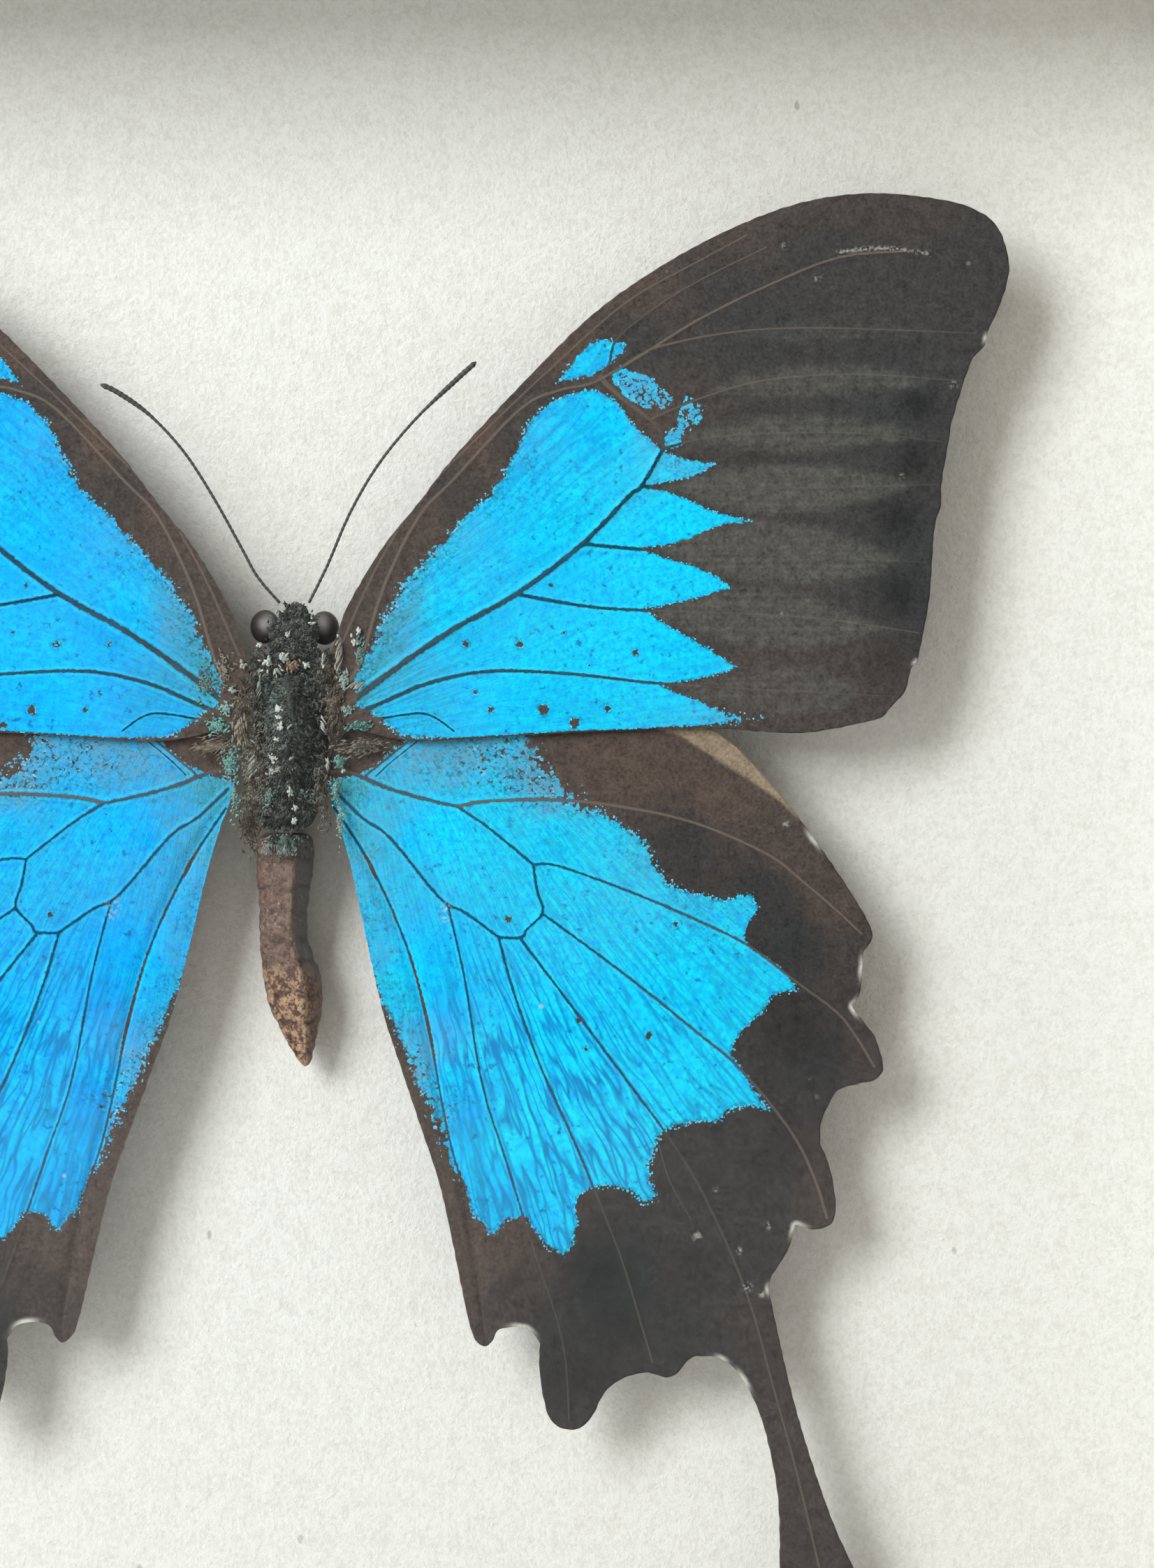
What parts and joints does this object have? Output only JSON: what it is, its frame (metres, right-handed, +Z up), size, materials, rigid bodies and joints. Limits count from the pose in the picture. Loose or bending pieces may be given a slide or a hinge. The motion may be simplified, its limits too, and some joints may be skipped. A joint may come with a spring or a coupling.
{
  "type": "framed butterfly specimen",
  "caption": "Set swallowtail butterfly with tailed hind wings, behind glass in a square wooden box frame that stands or hangs.",
  "frame": {"origin": "middle of the frame's foot: centre of the bottom of the bounding box", "axes": "+X to the viewer's right, +Y from the glass towards the back board, +Z up"},
  "size_m": [0.17, 0.034, 0.17],
  "materials": {
    "oak": "pale oiled oak moulding, fine open grain",
    "glass": "clear picture glass",
    "cream_card": "cream textured watercolour card",
    "hardboard": "brown hardboard, smooth face out",
    "steel": "zinc plated steel",
    "dark_fur": "black-green scales and hair",
    "brown_skin": "dry brown skin with worn scales",
    "eye": "dark compound eye with a soft gloss",
    "blue_wing": "electric blue and black wing scales"
  },
  "bodies": {
    "root": {"rail_top": "oak", "rail_right": "oak", "rail_bottom": "oak", "rail_left": "oak", "glass_pane": "glass", "spacer_top": "cream_card", "spacer_right": "cream_card", "spacer_bottom": "cream_card", "spacer_left": "cream_card", "mount_card": "cream_card", "backing_board": "hardboard", "framers_point_1": "steel", "framers_point_2": "steel", "framers_point_3": "steel", "framers_point_4": "steel", "framers_point_5": "steel", "framers_point_6": "steel", "framers_point_7": "steel", "framers_point_8": "steel", "sawtooth_hanger": "steel", "hanger_nail_left": "steel", "hanger_nail_right": "steel", "head": "dark_fur", "thorax": "dark_fur", "antenna_left": "dark_fur", "antenna_right": "dark_fur", "abdomen": "brown_skin", "eye_left": "eye", "eye_right": "eye", "forewing_left": "blue_wing", "forewing_right": "blue_wing", "hindwing_left": "blue_wing", "hindwing_right": "blue_wing"}
  },
  "joints": []
}
